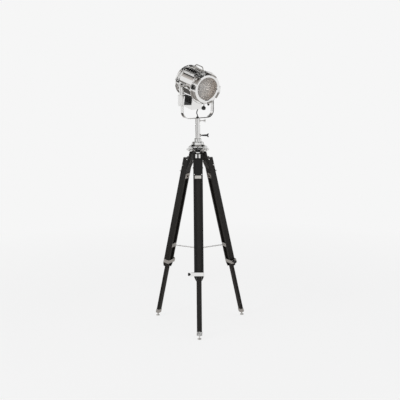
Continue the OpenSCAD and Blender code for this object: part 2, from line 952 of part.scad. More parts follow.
module lens_door() {
    color(chrome)
        head_frame()
            difference() {
                union() {
                    turned([
                        [door_x, door_r - 4], [door_x, door_r],
                        [door_x + 8, door_r], [door_x + 10, door_r - 3],
                        [door_front - 8, door_r - 3], [door_front - 6, door_r],
                        [door_front - 2, door_r], [door_front, door_r - 3],
                        [door_front, glass_r + 4], [door_front - 2, glass_r],
                        [door_front - lip_t - 1, glass_r], [door_front - lip_t - 1, lens_r + 1],
                        [door_front - 14, lens_r + 1], [door_front - 14, door_r - 7],
                        [door_x + 10, door_r - 6], [door_x + 2, door_r - 6]
                    ]);
                    // knuckle between the flange's lugs
                    translate([0, 0, -29.6]) {
                        translate([hinge_pin_x, hinge_pin_y, 0]) cylinder(r = 5, h = 27.2);
                        translate([hinge_pin_x, door_r - 12, 0])
                            cube([5, hinge_pin_y - door_r + 12, 27.2]);
                    }
                }
                translate([hinge_pin_x, hinge_pin_y, -60])
                    cylinder(d = pin_d + 2 * fit, h = 90);
            }
}

// Channels round the door's rim that hold a filter frame
module filter_clips() {
    x0 = door_x + 11;
    x1 = door_front - 9;
    color(black_paint)
        head_frame()
            for (a = [[7, 22], [50, 24], [143, 28], [220, 28]])
                rotate([a[0], 0, 0])
                    turned([
                        [x0, door_r - 2.95], [x0, door_r + 3], [door_front + 4, door_r + 3],
                        [door_front + 4, door_r - 6], [door_front + 1.5, door_r - 6],
                        [door_front + 1.5, door_r + 0.5], [x1, door_r + 0.5],
                        [x1, door_r - 2.95]
                    ], a[1]);
}

// Stepped lens: each ring is a slice of one large curved face
module lens() {
    crown = lens_focus * 0.52;
    flat = 3.2;
    step = lens_r / lens_rings;
    function sag(r) = r * r / (2 * crown) / (1 + r * r / (9 * crown * crown));
    ridges = [for (k = [0 : lens_rings - 2])
        let (r0 = k * step, r1 = (k + 1) * step, drop = min(sag(r1) - sag(r0), lens_t - flat - 1))
        each [[lens_face - 0.8, k == 0 ? 0 : r0 + 0.02], [lens_face - 0.8 - drop, r1]]];
    color("#c9c4b8")
        head_frame()
            turned(concat(
                [[lens_seat, 0]],
                ridges,
                [[lens_face, (lens_rings - 1) * step + 0.02], [lens_face, lens_r],
                    [lens_seat, lens_r]]
            ));
}

module lens_ring() {
    back = lens_seat - 0.02;
    color(chrome)
        head_frame()
            turned([
                [back, lens_r + 0.95], [back, lens_r - 6],
                [back - 2, lens_r - 6], [back - 2, lens_r + 0.95]
            ]);
}

module door_hinge_pin() {
    color(chrome)
        head_frame()
            translate([hinge_pin_x, hinge_pin_y, -38]) {
                translate([0, 0, -1]) cylinder(d = pin_d, h = 46);
                translate([0, 0, 44.05]) cylinder(d = 7, h = 3);
                translate([0, 0, -2.05]) cylinder(d = 7, h = 2);
            }
}

module door_catch() {
    knob_r = 13;
    color(black_paint)
        head_frame()
            translate([catch_x, 0, 0]) {
                translate([0, 0, -door_r - 23]) cylinder(d = 5, h = 22.65);
                translate([0, 0, -door_r - 40]) cylinder(r = knob_r, h = 12);
                translate([0, 0, -door_r - 28]) cylinder(r1 = knob_r, r2 = 6, h = 6);
                translate([0, 0, -door_r - 44]) cylinder(r1 = 9, r2 = knob_r, h = 4);
            }
}

module tilt_lever() {
    plate = 5;
    out = fork_w / 2 + fork_t;
    color(chrome)
        fork_frame()
            mirror([0, 1, 0])
                translate([0, out + 0.4, 0])
                    difference() {
                        union() {
                            along_y() cylinder(d = 24, h = 14);
                            translate([-7, 8, -62]) cube([14, plate, 62]);
                            translate([-lever_w / 2, 8, -lever_l + 8])
                                cube([lever_w, plate, lever_l - 66]);
                            translate([-lever_w / 2 + 8, 8, -lever_l])
                                cube([lever_w - 16, plate, 20]);
                            for (x = [-lever_w / 2 + 8, lever_w / 2 - 8])
                                translate([x, 8, -lever_l + 8]) along_y()
                                    cylinder(r = 8, h = plate);
                        }
                        translate([0, -1, 0]) along_y()
                            cylinder(d = stud_d + 2 * fit, h = 20);
                    }
}

// ---------- legs ----------

// Box given down the leg: from s0 to s1, x0 to x1, y0 to y1
module leg_box(s0, s1, x0, x1, y0, y1) {
    translate([x0, y0, -s1]) cube([x1 - x0, y1 - y0, s1 - s0]);
}

module rails(i) {
    cut_s = 22;
    cut_y = 11;
    color(black_wood)
        leg_frame(i)
            for (side = [0, 1])
                mirror([0, side, 0])
                    translate([inner_x, 0, 0])
                        rotate([90, 0, 90])
                            linear_extrude(outer_d)
                                polygon([
                                    [slot_w / 2, -rail_top], [outer_w / 2, -rail_top],
                                    [outer_w / 2, -rail_end + cut_s],
                                    [outer_w / 2 - cut_y, -rail_end],
                                    [slot_w / 2, -rail_end]
                                ]);
}

// Block between the rails that runs up into the hinge arm
module leg_head(i) {
    half = slot_w / 2;
    color(black_wood)
        leg_frame(i)
            difference() {
                union() {
                    translate([0, half, 0]) rotate([90, 0, 0])
                        linear_extrude(2 * half)
                            polygon([
                                [-arm_t / 2, 0], [arm_t / 2, 0],
                                [arm_t / 2, -rail_top], [outer_x - 2, -rail_top - 2],
                                [outer_x - 2, -block_end],
                                [inner_x, -block_end], [inner_x, -block_end + 30],
                                [-arm_t / 2, -rail_top - 12]
                            ]);
                    translate([0, -half, 0]) along_y()
                        cylinder(d = arm_t, h = 2 * half);
                }
                translate([0, -half - 1, 0]) along_y()
                    cylinder(d = bolt_d + 2 * fit, h = 2 * half + 2);
            }
}

// Rounded frame round the leg, longer on the side of the clamping screw
module band_outline(grow) {
    round = 2 + grow;
    y0 = -outer_w / 2 - ear_l - grow;
    y1 = outer_w / 2 + grow;
    x0 = inner_x - grow;
    x1 = outer_x + grow;
    translate([x0 + round, y0]) square([x1 - x0 - 2 * round, y1 - y0]);
    translate([x0, y0 + round]) square([x1 - x0, y1 - y0 - 2 * round]);
    for (x = [x0 + round, x1 - round])
        for (y = [y0 + round, y1 - round])
            translate([x, y]) circle(r = round, $fn = 32);
}

module clamp_band(i) {
    color(chrome)
        leg_frame(i)
            difference() {
                translate([0, 0, -band_at - band_h / 2])
                    linear_extrude(band_h)
                        difference() {
                            band_outline(band_t);
                            translate([inner_x, -outer_w / 2 - ear_l + 6])
                                square([outer_d, outer_w + ear_l - 6]);
                        }
                translate([leg_offset, -outer_w, -band_at]) along_y()
                    cylinder(d = 5 + 2 * fit, h = 30);
            }
}

module clamp_knob(i) {
    start = outer_w / 2 + 0.4;
    out = ear_l + band_t;
    color(black_paint)
        leg_frame(i)
            translate([leg_offset, 0, -band_at])
                rotate([90, 0, 0])
                    translate([0, 0, start]) {
                        cylinder(d = 5, h = out + 6);
                        translate([0, 0, out + 1]) cylinder(d1 = 9, d2 = 12, h = 3);
                        translate([0, 0, out + 4]) cylinder(d1 = 15, d2 = clamp_knob_d, h = 3);
                        translate([0, 0, out + 7]) cylinder(d = clamp_knob_d, h = 6);
                        translate([0, 0, out + 13]) cylinder(d1 = clamp_knob_d, d2 = 13, h = 3);
                    }
}

// Domed bolt head on a face whose outward direction is z
module bolt_head(d, h) {
    cylinder(d = d, h = h * 0.5);
    translate([0, 0, h * 0.5]) cylinder(d1 = d, d2 = d * 0.6, h = h * 0.5);
}

module leg_fittings(i) {
    color(chrome)
        leg_frame(i) {
            // twin straps and cross bar on the hinge arm's outer face
            for (y = [-15.5, 4.5])
                leg_box(27, 51, arm_t / 2, arm_t / 2 + plate_t, y, y + 11);
            leg_box(14, 20, arm_t / 2, arm_t / 2 + plate_t, -11, 11);
            // through bolts that hold the rails to the block
            for (p = [[inner_x + 7, rail_top + 6], [outer_x - 6, rail_top + 50]])
                for (side = [0, 1])
                    mirror([0, side, 0])
                        translate([p[0], outer_w / 2, -p[1]]) along_y()
                            bolt_head(9, 4);
            // tall bolts on the rails' outer faces
            for (side = [0, 1])
                mirror([0, side, 0])
                    translate([outer_x, slot_w / 2 + rail_w / 2, -(block_end - 5)])
                        along_x() bolt_head(9, 11);
            // eye plate for the chain, across the rails' inner faces
            translate([inner_x - plate_t, 0, -eye_at])
                difference() {
                    union() {
                        translate([0, -24, -14]) cube([plate_t, 48, 24]);
                        translate([-9.5, -1, -5]) cube([10, 2, 10]);
                    }
                    translate([-5, -3, 0]) along_y() cylinder(d = 5, h = 6);
                }
        }
}

module lower_leg(i) {
    half_d = lower_d / 2;
    color(black_wood)
        leg_frame(i)
            difference() {
                leg_box(lower_top, lower_end, leg_offset - half_d, leg_offset + half_d,
                    -lower_w / 2, lower_w / 2);
                // hole for the foot's stem
                translate([leg_offset, 0, -lower_end - 1]) cylinder(d = 8, h = 30);
            }
}

// Metal guide on top of the sliding leg, with a plate on each face
module guide(i) {
    top = lower_top - 16;
    gap = slack;
    web_y = slot_w / 2 - 1;
    color(chrome)
        leg_frame(i) {
            difference() {
                union() {
                    leg_box(top, lower_top, inner_x - gap - plate_t, outer_x + gap + plate_t,
                        -web_y, web_y);
                    leg_box(top, top + 18, outer_x + gap, outer_x + gap + plate_t, -20, 20);
                    leg_box(top, top + 32, inner_x - gap - plate_t, inner_x - gap, -24, 24);
                }
                leg_box(top + 18, top + 40, inner_x, outer_x + 20, -web_y - 1, web_y + 1);
                leg_box(top + 9, top + 25, inner_x - gap - plate_t - 1, inner_x - gap + 1, -9, 9);
            }
        }
}

module foot(i) {
    grow = 1.6;
    half_d = lower_d / 2 + grow;
    half_w = lower_w / 2 + grow;
    color(chrome) {
        leg_frame(i) {
            difference() {
                union() {
                    leg_box(ferrule_s, ferrule_s + ferrule_l, leg_offset - half_d,
                        leg_offset + half_d, -half_w, half_w);
                    translate([leg_offset, 0, -ball_s]) {
                        sphere(r = 5.5, $fn = 32);
                        cylinder(d = 8, h = ball_s - lower_end + 20);
                    }
                }
                leg_box(ferrule_s - 1, lower_end, leg_offset - lower_d / 2,
                    leg_offset + lower_d / 2, -lower_w / 2, lower_w / 2);
            }
            translate([leg_offset, 0, -lower_end]) cylinder(d = 8, h = 20);
        }
        at_axis()
            rotate([0, 0, azimuths[i]])
                translate([foot_r, 0, 0])
                    difference() {
                        union() {
                            cylinder(d = pad_d, h = pad_t - 2);
                            translate([0, 0, pad_t - 2])
                                cylinder(d1 = pad_d, d2 = pad_d * 0.6, h = 4);
                        }
                        translate([0, 0, foot_lift]) sphere(r = 5.6, $fn = 32);
                        translate([0, 0, foot_lift + 3]) cylinder(r = 7, h = 5);
                    }
    }
}

// ---------- spreader chains ----------

// Where the chain starts, measured inwards from the leg's inner face
chain_x = inner_x - plate_t - 5;
chain_drop = eye_at;
// the eye's distance from the stand's axis and its height
eye_r = hinge_r + chain_x * cos(leg_lean) + chain_drop * sin(leg_lean);
eye_z = hinge_h - chain_drop * cos(leg_lean) + chain_x * sin(leg_lean);
ring_wire = 3;
ring_mid = (ring_d - ring_wire) / 2;
// The first link hangs in the eye and the last one round the ring, so
// there is an even number of links, and they pull almost tight
chain_from = eye_r - 0.9;
chain_to = ring_mid - (ring_wire + link_wire) / 2 - 0.05;
link_count = 2 * round((chain_from - chain_to) / link_goal / 2);
link_pitch = (chain_from - chain_to - link_wire - 0.1) / link_count;
link_l = link_pitch + 2 * link_wire + 0.1;

// One oval link along x, centred on the origin, flat in the xz plane
module link() {
    bend = (link_w - link_wire) / 2;
    half = (link_l - link_w) / 2;
    for (side = [0, 1])
        mirror([side, 0, 0])
            translate([half, 0, 0]) bent_bar(bend, link_wire, -90, 90);
    for (z = [-bend, bend])
        translate([-half, 0, z]) along_x()
            cylinder(d = link_wire, h = 2 * half, $fn = 24);
}

// The front chain also carries the ring that joins all three
module chain(i) {
    color(chrome)
        at_axis()
            translate([0, 0, eye_z]) {
                rotate([0, 0, azimuths[i]])
                    for (k = [0 : link_count - 1])
                        translate([chain_from - (link_l - link_wire) / 2 - k * link_pitch, 0, 0])
                            rotate([k % 2 == 0 ? 90 : 0, 0, 0])
                                link();
                if (i == 0)
                    rotate_extrude($fn = 64)
                        translate([ring_mid, 0]) circle(d = ring_wire, $fn = 24);
            }
}

hub_casting();
receiver_tube();
hinge_bolts();
post();
receiver_knob();
fork();
fork_socket();
lead_grommet();
pan_screw();
drum();
rear_cap();
front_flange();
top_vent();
handle();
louvre_box();
tray();
tilt_studs();
lamp_lead();
lamp_carriage();
lampholder();
bulb();
reflector();
focus_knob();
lens_door();
filter_clips();
lens();
lens_ring();
door_hinge_pin();
door_catch();
tilt_lever();
rails(0);  // rails_front
rails(1);  // rails_left
rails(2);  // rails_right
leg_head(0);  // leg_head_front
leg_head(1);  // leg_head_left
leg_head(2);  // leg_head_right
clamp_band(0);  // clamp_band_front
clamp_band(1);  // clamp_band_left
clamp_band(2);  // clamp_band_right
leg_fittings(0);  // leg_fittings_front
leg_fittings(1);  // leg_fittings_left
leg_fittings(2);  // leg_fittings_right
lower_leg(0);  // lower_leg_front
lower_leg(1);  // lower_leg_left
lower_leg(2);  // lower_leg_right
guide(0);  // guide_front
guide(1);  // guide_left
guide(2);  // guide_right
foot(0);  // foot_front
foot(1);  // foot_left
foot(2);  // foot_right
clamp_knob(0);  // clamp_knob_front
clamp_knob(1);  // clamp_knob_left
clamp_knob(2);  // clamp_knob_right
wing_nut(0);  // wing_nut_front
wing_nut(1);  // wing_nut_left
wing_nut(2);  // wing_nut_right
chain(0);  // chain_front
chain(1);  // chain_left
chain(2);  // chain_right
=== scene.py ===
import math

import bmesh
import bpy
from mathutils import Euler, Matrix, Vector


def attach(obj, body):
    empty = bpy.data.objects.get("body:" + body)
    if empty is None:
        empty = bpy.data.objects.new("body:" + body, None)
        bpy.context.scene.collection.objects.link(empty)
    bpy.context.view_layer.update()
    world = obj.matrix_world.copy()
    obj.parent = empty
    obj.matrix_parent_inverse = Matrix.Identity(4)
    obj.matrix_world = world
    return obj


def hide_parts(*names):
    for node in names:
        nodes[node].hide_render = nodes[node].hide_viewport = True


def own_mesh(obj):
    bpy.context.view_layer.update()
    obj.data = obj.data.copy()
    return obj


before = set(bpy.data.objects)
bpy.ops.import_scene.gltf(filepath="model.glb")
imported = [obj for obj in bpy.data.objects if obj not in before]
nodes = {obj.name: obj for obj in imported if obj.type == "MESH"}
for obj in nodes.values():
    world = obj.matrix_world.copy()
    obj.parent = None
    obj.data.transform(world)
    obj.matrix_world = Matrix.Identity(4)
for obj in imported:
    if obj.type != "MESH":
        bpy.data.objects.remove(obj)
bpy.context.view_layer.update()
print("frame loaded")

# places taken from the part's source

hinge = {"height": 1.126, "radius": 0.037, "lean": math.radians(13.2), "offset": 0.0203}
footRadius = (hinge["radius"] + hinge["offset"] / math.cos(hinge["lean"])
              + (hinge["height"] - 0.008) * math.tan(hinge["lean"]))
axisY = footRadius * 0.25
legTurns = {"front": -90, "left": 150, "right": 30}
tiltHeight = 1.526
forkHeight = 1.319
panRest = math.radians(32.7 - 90)
tiltRest = math.radians(11.3)


def turnMatrix(x=0.0, y=0.0, z=0.0):
    return Euler((x, y, z)).to_matrix().to_4x4()


forkMatrix = Matrix.Translation((0, axisY, tiltHeight)) @ turnMatrix(z=panRest)
headMatrix = forkMatrix @ turnMatrix(y=tiltRest)
legMatrices = {
    name: (Matrix.Translation((0, axisY, 0)) @ turnMatrix(z=math.radians(turn))
           @ Matrix.Translation((hinge["radius"], 0, hinge["height"]))
           @ turnMatrix(y=-hinge["lean"]))
    for name, turn in legTurns.items()
}

# camera

view = {"place": (0.0472, -5.485, 1.8658), "yaw": -0.0067471, "pitch": 0.1883175,
        "roll": -0.0108018, "focal": 902.323, "pixels": 400,
        "sensor": 36.0, "near": 0.1, "far": 60}
forward = Vector((math.sin(view["yaw"]) * math.cos(view["pitch"]),
                  math.cos(view["yaw"]) * math.cos(view["pitch"]), -math.sin(view["pitch"])))
level = Vector((math.cos(view["yaw"]), -math.sin(view["yaw"]), 0))
upright = level.cross(forward)
side = math.cos(view["roll"]) * level + math.sin(view["roll"]) * upright
top = -math.sin(view["roll"]) * level + math.cos(view["roll"]) * upright
cameraData = bpy.data.cameras.new("camera")
cameraData.sensor_width = view["sensor"]
cameraData.lens = view["focal"] * view["sensor"] / view["pixels"]
cameraData.clip_start = view["near"]
cameraData.clip_end = view["far"]
camera = bpy.data.objects.new("camera", cameraData)
bpy.context.scene.collection.objects.link(camera)
camera.matrix_world = (Matrix.Translation(view["place"])
                       @ Matrix((side, top, -forward)).transposed().to_4x4())
bpy.context.scene.camera = camera
bpy.context.scene.view_settings.view_transform = "Standard"

# material helpers


class Shader:

    def __init__(self, name, kind="Material"):
        store = bpy.data.materials if kind == "Material" else bpy.data.worlds
        self.data = store.new(name)
        self.data.use_nodes = True
        self.tree = self.data.node_tree
        self.tree.nodes.clear()
        self.output = self.add("ShaderNodeOutput" + kind)

    def add(self, kind, inputs=None, **values):
        node = self.tree.nodes.new(kind)
        for key, value in values.items():
            setattr(node, key, value)
        for key, value in (inputs or {}).items():
            if isinstance(value, bpy.types.NodeSocket):
                self.tree.links.new(value, node.inputs[key])
            else:
                node.inputs[key].default_value = value
        return node

    def coords(self, matrix=None, stretch=(1, 1, 1)):
        place = self.add("ShaderNodeTexCoord").outputs["Object"]
        if matrix is not None:
            place = self.add("ShaderNodeMapping", {
                "Vector": place, "Location": matrix.to_translation(),
                "Rotation": matrix.to_euler()}, vector_type="TEXTURE").outputs[0]
        if stretch != (1, 1, 1):
            place = self.add("ShaderNodeMapping", {"Vector": place, "Scale": stretch}).outputs[0]
        return place

    def noise(self, place, scale, detail=3.0, rough=0.5):
        return self.add("ShaderNodeTexNoise", {
            "Vector": place, "Scale": scale, "Detail": detail, "Roughness": rough}).outputs[0]

    def spread(self, value, low, high, start=0.0, end=1.0):
        return self.add("ShaderNodeMapRange", {
            "Value": value, "From Min": start, "From Max": end,
            "To Min": low, "To Max": high}).outputs[0]

    def mixColour(self, amount, first, second):
        node = self.add("ShaderNodeMix", data_type="RGBA")
        for key, value in ((0, amount), (6, first), (7, second)):
            if isinstance(value, bpy.types.NodeSocket):
                self.tree.links.new(value, node.inputs[key])
            else:
                node.inputs[key].default_value = (*value, 1) if key > 0 else value
        return node.outputs[2]

    def math(self, operation, first, second=0.0):
        node = self.add("ShaderNodeMath", operation=operation)
        for key, value in ((0, first), (1, second)):
            if isinstance(value, bpy.types.NodeSocket):
                self.tree.links.new(value, node.inputs[key])
            else:
                node.inputs[key].default_value = value
        return node.outputs[0]

    def radial(self, place):  # distance along the drum's axis and out from it
        split = self.add("ShaderNodeSeparateXYZ", {"Vector": place}).outputs
        squares = [self.math("MULTIPLY", split[k], split[k]) for k in (1, 2)]
        return split, self.math("SQRT", self.math("ADD", *squares))

    def flatRays(self):  # 1 where the backdrop shows as plain paper
        path = self.add("ShaderNodeLightPath").outputs
        seen = self.math("MAXIMUM", path["Is Camera Ray"], path["Is Transmission Ray"])
        return self.math("MAXIMUM", seen, path["Is Glossy Ray"])

    def finish(self, node):
        self.tree.links.new(node.outputs[0], self.output.inputs[0])
        return self.data

    def bump(self, height, strength, distance, normal=None):
        inputs = {"Height": height, "Strength": strength, "Distance": distance}
        if normal is not None:
            inputs["Normal"] = normal
        return self.add("ShaderNodeBump", inputs).outputs[0]

    def softEdge(self, radius):
        return self.add("ShaderNodeBevel", {"Radius": radius}, samples=4).outputs[0]

    def surface(self, **inputs):
        named = {key.replace("_", " "): value for key, value in inputs.items()}
        return self.finish(self.add("ShaderNodeBsdfPrincipled", named))


def platedMetal(name, tone, rough, wave=0.15, edge=0.0006, matrix=None):
    s = Shader(name)
    place = s.coords(matrix)
    ripple = s.noise(place, 28, 2)
    wiped = s.noise(place, 90, 4)
    pits = s.noise(place, 900, 1)
    normal = s.bump(ripple, wave, 0.0012, s.softEdge(edge))
    normal = s.bump(pits, 0.05, 0.0001, normal)
    colour = s.mixColour(wiped, [t * 0.93 for t in tone], tone)
    return s.surface(Base_Color=colour, Metallic=1.0, Normal=normal,
                     Roughness=s.spread(wiped, rough * 0.6, rough * 1.5, 0.3, 0.7))


def spunMetal(name, tone, rough, matrix, inside=0.0):
    s = Shader(name)
    place = s.coords(matrix)
    split, radius = s.radial(place)
    lines = s.add("ShaderNodeCombineXYZ", {"X": split[0], "Y": radius}).outputs[0]
    turned = s.noise(lines, 700, 2)
    wiped = s.noise(place, 22, 4)
    dents = s.noise(place, 11, 2)
    normal = s.bump(dents, 0.15, 0.002, s.softEdge(0.0007))
    normal = s.bump(turned, 0.03, 0.0002, normal)
    colour = s.mixColour(wiped, [t * 0.92 for t in tone], tone)
    shine = s.spread(wiped, rough * 0.6, rough * 1.6, 0.3, 0.7)
    metal = 1.0
    if inside:  # aluminium paint within this radius
        painted = s.math("LESS_THAN", radius, inside)
        speck = s.noise(place, 1200, 2)
        colour = s.mixColour(painted, colour, s.mixColour(speck, (0.66, 0.65, 0.63),
                                                          (0.8, 0.79, 0.76)))
        shine = s.add("ShaderNodeMix", {0: painted, 2: shine, 3: 0.55}).outputs[0]
        metal = s.spread(painted, 1.0, 0.35)
    return s.surface(Base_Color=colour, Metallic=metal, Normal=normal, Roughness=shine)


def stainedWood(name, matrix, wearAndSheenAmount):
    s = Shader(name)
    grain = s.noise(s.coords(matrix, (1, 1, 0.035)), 260, 5, 0.6)
    pores = s.noise(s.coords(matrix, (1, 1, 0.02)), 1400, 2)
    cloud = s.noise(s.coords(matrix, (1, 1, 0.3)), 14, 3)
    edgeWearAndSheen = s.add("ShaderNodeNewGeometry").outputs["Pointiness"]
    base = s.mixColour(s.spread(grain, 0, 1, 0.35, 0.7), (0.002, 0.002, 0.0021),
                       (0.007, 0.0068, 0.0065))
    base = s.mixColour(s.spread(cloud, 0, 0.5, 0.4, 0.8), base, (0.004, 0.004, 0.0042))
    # lighter colour on sharp edges: partly wear, partly a painted sheen where edges catch light
    base = s.mixColour(s.spread(edgeWearAndSheen, 0, wearAndSheenAmount, 0.52, 0.6), base, (0.03, 0.027, 0.024))
    normal = s.bump(grain, 0.2, 0.0004, s.softEdge(0.0004))
    normal = s.bump(pores, 0.15, 0.0002, normal)
    return s.surface(Base_Color=base, Normal=normal, Roughness=s.spread(grain, 0.24, 0.42),
                     Specular_IOR_Level=0.24)


def darkFinish(name, colour, rough, scale, depth, coat=0.0):
    s = Shader(name)
    place = s.coords()
    skin = s.noise(place, scale, 3)
    cloud = s.noise(place, 40, 3)
    normal = s.bump(skin, 0.3, depth, s.softEdge(0.0006))
    return s.surface(Base_Color=s.mixColour(cloud, [c * 0.7 for c in colour], colour),
                     Normal=normal, Roughness=s.spread(cloud, rough * 0.8, rough * 1.2),
                     Coat_Weight=coat, Coat_Roughness=0.1)


def give(material, *names):
    for name in names:
        mesh = nodes[name].data
        mesh.materials.clear()
        mesh.materials.append(material)


# materials of the CAD pieces

bright = (0.86, 0.855, 0.845)
plate = platedMetal("nickelPlate", bright, 0.09)
castPlate = platedMetal("castPlate", (0.8, 0.8, 0.79), 0.16, 0.5, 0.0012)
barPlate = platedMetal("barPlate", bright, 0.08, 0.1, 0.0008, forkMatrix)
spunPlate = spunMetal("spunPlate", bright, 0.045, headMatrix)
# the nickel plate darkened for the handle and lens ring: painted shade for the dark reflections
# they show
shadedHandlePlate = platedMetal("shadedHandlePlate", (0.55, 0.53, 0.5), 0.12, 0.2)
# the nickel plate darkened for the guides: painted shade that dims their bright reflection; the
# strong ripple is bump only
shadedGuidePlate = platedMetal("shadedGuidePlate", (0.62, 0.6, 0.57), 0.2, 3.0)
brass = platedMetal("brassCap", (0.72, 0.55, 0.3), 0.2, 0.3)
tungsten = platedMetal("tungstenWire", (0.35, 0.34, 0.33), 0.35, 0.2)
innerPlate = platedMetal("innerPlate", (0.7, 0.7, 0.69), 0.2)
knobBlack = darkFinish("knobBlack", (0.008, 0.008, 0.0085), 0.3, 600, 0.0001, 0.2)
enamelBlack = darkFinish("enamelBlack", (0.008, 0.007, 0.0065), 0.42, 350, 0.0002)
blackNickel = platedMetal("blackNickel", (0.36, 0.34, 0.32), 0.14, 0.3)
rubberBlack = darkFinish("rubberBlack", (0.018, 0.018, 0.018), 0.62, 900, 0.0002)

give(castPlate, "hub_casting")
give(plate, "receiver_tube", "hinge_bolts", "post", "fork_socket", "pan_screw", "tilt_studs",
     "door_hinge_pin")
give(barPlate, "fork", "tilt_lever")
give(shadedHandlePlate, "handle", "lens_ring")
give(spunMetal("spunPlateDrum", bright, 0.045, headMatrix, 0.0858), "drum")
give(spunPlate, "rear_cap", "front_flange", "top_vent", "lens_door", "tray")
give(innerPlate, "lamp_carriage")
give(knobBlack, "receiver_knob", "focus_knob", "door_catch")
give(enamelBlack, "louvre_box")
give(blackNickel, "filter_clips")
give(rubberBlack, "lead_grommet", "lamp_lead")
# amount of lighter edge colour per leg; the front leg gets less, painted shade that keeps it
# darker than the side legs
edgeWearAndSheen = {"rails": {"front": 0.1, "left": 0.5, "right": 0.5}, "lower": 0.5}
legWood = {}
for name, matrix in legMatrices.items():
    legWood[name] = stainedWood("railWood_" + name, matrix, edgeWearAndSheen["rails"][name])
    give(legWood[name], "rails_" + name, "leg_head_" + name)
    give(stainedWood("lowerWood_" + name, matrix, edgeWearAndSheen["lower"]), "lower_leg_" + name)
    give(plate, "clamp_band_" + name, "foot_" + name, "wing_nut_" + name, "chain_" + name)
    give(castPlate, "leg_fittings_" + name)
    give(shadedGuidePlate, "guide_" + name)
    give(knobBlack, "clamp_knob_" + name)


def ceramic():
    s = Shader("glazedCeramic")
    place = s.coords()
    cloud = s.noise(place, 60, 3)
    specks = s.spread(s.noise(place, 900, 1), 0, 1, 0.68, 0.74)
    colour = s.mixColour(cloud, (0.62, 0.52, 0.38), (0.74, 0.66, 0.52))
    return s.surface(Base_Color=s.mixColour(specks, colour, (0.3, 0.22, 0.15)),
                     Normal=s.bump(cloud, 0.2, 0.0006, s.softEdge(0.0008)),
                     Roughness=s.spread(cloud, 0.14, 0.28), Coat_Weight=0.5)


def brightDish():
    s = Shader("brightDish")
    place = s.coords(headMatrix)
    wiped = s.noise(place, 70, 4)
    return s.surface(Base_Color=s.mixColour(wiped, (0.8, 0.8, 0.79), (0.92, 0.92, 0.91)),
                     Metallic=1.0, Normal=s.bump(s.noise(place, 35, 2), 0.3, 0.001),
                     Roughness=s.spread(wiped, 0.08, 0.22))


def pressedGlass(name, tint, rough, ripple, clear=1.0, toned=None):
    s = Shader(name)
    place = s.coords(headMatrix)
    waves = s.noise(place, ripple, 2)
    film = s.noise(place, 18, 4)
    colour = s.mixColour(film, tint, [min(1, t + 0.03) for t in tint])
    normal = s.bump(waves, 0.3, 0.0006)
    if toned:  # darker rings painted in as shade for the mould's ridges, and one side toned warm brown
        split, radius = s.radial(place)
        colour = s.mixColour(s.spread(split[1], 0, 1, -0.07, 0.05), colour, toned)
        rings = s.noise(s.add("ShaderNodeCombineXYZ", {"X": radius}).outputs[0], 150, 2)
        # painted shade: darker colour in rings where the ridges would catch shade
        colour = s.mixColour(s.spread(rings, 0, 0.55, 0.42, 0.62), colour, (0.34, 0.3, 0.27))
        normal = s.bump(rings, 0.4, 0.001, normal)
    return s.surface(Base_Color=colour, Normal=normal,
                     Roughness=s.spread(film, rough * 0.6, rough * 1.4),
                     Transmission_Weight=clear, IOR=1.5, Coat_Weight=0.7, Coat_Roughness=0.05)


give(ceramic(), "lampholder")
give(brightDish(), "reflector")
give(pressedGlass("lensGlass", (0.95, 0.94, 0.92), 0.2, 160, 0.3, (0.95, 0.87, 0.79)), "lens")
bulbGlass = pressedGlass("bulbGlass", (0.97, 0.96, 0.94), 0.03, 30)
print("materials done")

# helpers for modelled pieces


def startPiece(name):
    bpy.ops.object.select_all(action="DESELECT")
    piece = bpy.context.object
    piece.name = piece.data.name = name
    piece.select_set(True)
    return piece


def finishPiece(piece, body, material, edge=0.0, angle=40, place=None):
    bpy.ops.object.select_all(action="DESELECT")
    bpy.context.view_layer.objects.active = piece
    piece.select_set(True)
    if edge:
        rounding = piece.modifiers.new("edges", "BEVEL")
        rounding.width = edge
        rounding.segments = 2
        rounding.limit_method = "ANGLE"
        bpy.ops.object.modifier_apply(modifier="edges")
    if place is not None:
        piece.matrix_world = place @ piece.matrix_world
    bpy.ops.object.transform_apply(location=True, rotation=True, scale=True)
    bpy.ops.object.mode_set(mode="EDIT")
    bpy.ops.mesh.select_all(action="SELECT")
    bpy.ops.mesh.remove_doubles(threshold=0.000001)
    bpy.ops.mesh.normals_make_consistent(inside=False)
    bpy.ops.object.mode_set(mode="OBJECT")
    bpy.ops.object.shade_smooth_by_angle(angle=math.radians(angle))
    piece.data.materials.clear()
    piece.data.materials.append(material)
    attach(piece, body)


def closeEnds(piece):
    bpy.context.view_layer.objects.active = piece
    bpy.ops.object.mode_set(mode="EDIT")
    bpy.ops.mesh.select_all(action="DESELECT")
    bpy.ops.mesh.select_mode(type="EDGE")
    bpy.ops.mesh.select_non_manifold()
    bpy.ops.mesh.edge_face_add()
    bpy.ops.mesh.select_mode(type="VERT")
    bpy.ops.object.mode_set(mode="OBJECT")


def joinPieces(name, pieces):
    bpy.ops.object.select_all(action="DESELECT")
    for piece in pieces:
        piece.select_set(True)
    bpy.context.view_layer.objects.active = pieces[0]
    bpy.ops.object.join()
    piece = bpy.context.object
    piece.name = piece.data.name = name
    return piece


def movePoints(piece, chosen, offset):
    bpy.ops.object.mode_set(mode="EDIT")
    mesh = bmesh.from_edit_mesh(piece.data)
    for point in mesh.verts:
        point.select = chosen(point.co)
    mesh.select_flush(True)
    bmesh.update_edit_mesh(piece.data)
    bpy.ops.transform.translate(value=offset)
    bpy.ops.object.mode_set(mode="OBJECT")


# wooden cheeks that widen each leg's head to the width of its rails

near = 0.001  # how close a corner lies to an end to count as at it
headSide = {"inner": -0.010, "outer": 0.003, "from": 0.0160, "to": 0.0289, "top": -0.019,
            "rail": -0.0617, "railX": 0.0022, "slope": -0.074, "bottom": -0.128, "edge": 0.0008}


